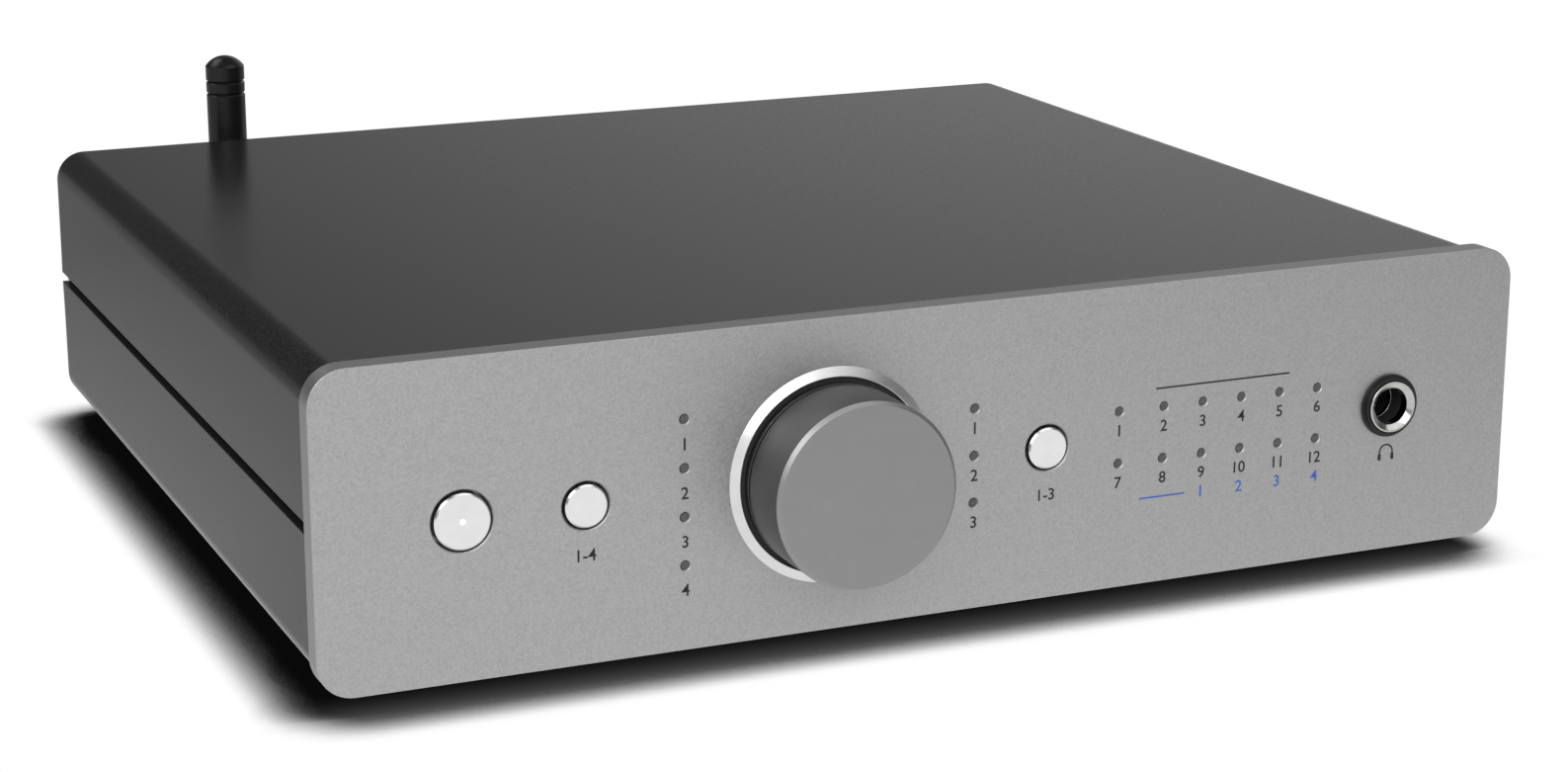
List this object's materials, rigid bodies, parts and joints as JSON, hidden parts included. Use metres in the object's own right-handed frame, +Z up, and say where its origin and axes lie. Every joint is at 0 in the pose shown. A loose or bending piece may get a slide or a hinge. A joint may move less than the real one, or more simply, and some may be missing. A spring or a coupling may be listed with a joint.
{
  "type": "desktop digital-to-analogue converter",
  "caption": "Low grey box with a wide front panel, round volume knob, flat push buttons, small indicator lights, headphone socket, rear sockets and a folding aerial.",
  "frame": {"origin": "under the middle of the case, on the surface that the feet stand on", "axes": "+Z up, front panel facing -Y, +X to the right seen from the front"},
  "size_m": [0.215, 0.2175, 0.0696],
  "materials": {
    "sheet_case": "fine textured powder coat, dark grey",
    "front_panel": "bead-blasted, anodised grey",
    "inner_steel": "zinc-plated sheet",
    "rear_panel": "satin black-grey paint",
    "rail": "black paint",
    "foot_rubber": "matt black rubber",
    "steel_screw": "zinc-plated steel",
    "black_screw": "black oxide steel",
    "knob": "turned, anodised grey",
    "bright_trim": "diamond-cut bright ring",
    "button": "spun silver",
    "lamp_lens": "clear light guide",
    "light_pipe": "smoked clear plastic",
    "lamp": "moulded lamp",
    "encoder": "plated housing",
    "switch": "moulded black",
    "board": "green solder mask",
    "post": "turned brass",
    "flat_cable": "white flat cable",
    "chip": "moulded epoxy",
    "capacitor": "sleeved can",
    "relay": "moulded cream plastic",
    "module": "tinned shield",
    "jack_metal": "polished nickel plate",
    "jack_plastic": "moulded black",
    "contact": "plated spring",
    "connector_body": "moulded black",
    "pin": "plated pin",
    "phono_metal": "nickel-plated shell",
    "phono_plastic": "moulded insulator",
    "shutter": "moulded black",
    "usb_metal": "tinned shell",
    "usb_plastic": "moulded white",
    "aerial_metal": "gold-plated brass",
    "aerial_plastic": "moulded black rubberised plastic"
  },
  "bodies": {
    "case": {"base_tray": "sheet_case", "top_cover": "sheet_case", "front_panel": "front_panel", "inner_front": "inner_steel", "rear_panel": "rear_panel", "side_rail_left": "rail", "side_rail_right": "rail", "foot_front_left": "foot_rubber", "foot_front_right": "foot_rubber", "foot_rear_left": "foot_rubber", "foot_rear_right": "foot_rubber", "foot_screws": "steel_screw", "front_screws": "steel_screw", "rear_screws": "black_screw", "board_screws": "steel_screw", "knob_ring": "bright_trim", "encoder_body": "encoder", "encoder_nut": "steel_screw", "button_switches": "switch", "source_light_pipe": "light_pipe", "filter_light_pipe": "light_pipe", "rate_light_pipe": "light_pipe", "indicator_lamps": "lamp", "front_board": "board", "main_board": "board", "board_posts": "post", "board_link": "flat_cable", "signal_chips": "chip", "supply_capacitors": "capacitor", "voltage_regulators": "chip", "output_relays": "relay", "wireless_module": "module", "jack_bush": "jack_metal", "jack_collar": "jack_plastic", "jack_body": "jack_plastic", "jack_contacts": "contact", "xlr_left": "connector_body", "xlr_right": "connector_body", "connector_pins": "pin", "line_out_block": "connector_body", "phono_shells": "phono_metal", "phono_insulators": "phono_plastic", "digital_block_1": "connector_body", "digital_block_2": "connector_body", "usb_socket": "usb_metal", "usb_tongue": "usb_plastic", "dc_socket": "connector_body", "aerial_socket": "aerial_metal", "aerial_lead": "aerial_plastic"},
    "knob": {"volume_knob": "knob", "encoder_shaft": "encoder"},
    "power": {"power_button": "button", "power_lens": "lamp_lens"},
    "source": {"source_button": "button"},
    "filter": {"filter_button": "button"},
    "shutter_1": {"optical_shutter_1": "shutter"},
    "shutter_2": {"optical_shutter_2": "shutter"},
    "aerial_base": {"aerial_base": "aerial_plastic"},
    "aerial": {"aerial_stub": "aerial_plastic"}
  },
  "joints": [
    {"name": "volume_turn", "type": "hinge", "parent": "case", "child": "knob", "pos_m": [-0.0218, -0.095, 0.029], "axis": [0, -1, 0], "continuous": true},
    {"name": "power_press", "type": "slide", "parent": "case", "child": "power", "axis": [0, 1, 0], "range_m": [0, 0.0008], "stiffness_N_per_m": 3000},
    {"name": "source_press", "type": "slide", "parent": "case", "child": "source", "axis": [0, 1, 0], "range_m": [0, 0.0008], "stiffness_N_per_m": 3000},
    {"name": "filter_press", "type": "slide", "parent": "case", "child": "filter", "axis": [0, 1, 0], "range_m": [0, 0.0008], "stiffness_N_per_m": 3000},
    {"name": "shutter_1_swing", "type": "hinge", "parent": "case", "child": "shutter_1", "pos_m": [0.0065, 0.0938, 0.02395], "axis": [-1, 0, 0], "range_deg": [0, 80], "stiffness_Nm_per_rad": 0.0006, "springref_deg": -17.19},
    {"name": "shutter_2_swing", "type": "hinge", "parent": "case", "child": "shutter_2", "pos_m": [-0.015, 0.0938, 0.02395], "axis": [-1, 0, 0], "range_deg": [0, 80], "stiffness_Nm_per_rad": 0.0006, "springref_deg": -17.19},
    {"name": "aerial_swivel", "type": "hinge", "parent": "case", "child": "aerial_base", "pos_m": [-0.069, 0.0936, 0.02888], "axis": [0, 1, 0], "range_deg": [-90, 90]},
    {"name": "aerial_tilt", "type": "hinge", "parent": "aerial_base", "child": "aerial", "pos_m": [-0.069, 0.105, 0.02888], "axis": [-1, 0, 0], "range_deg": [0, 90]}
  ]
}
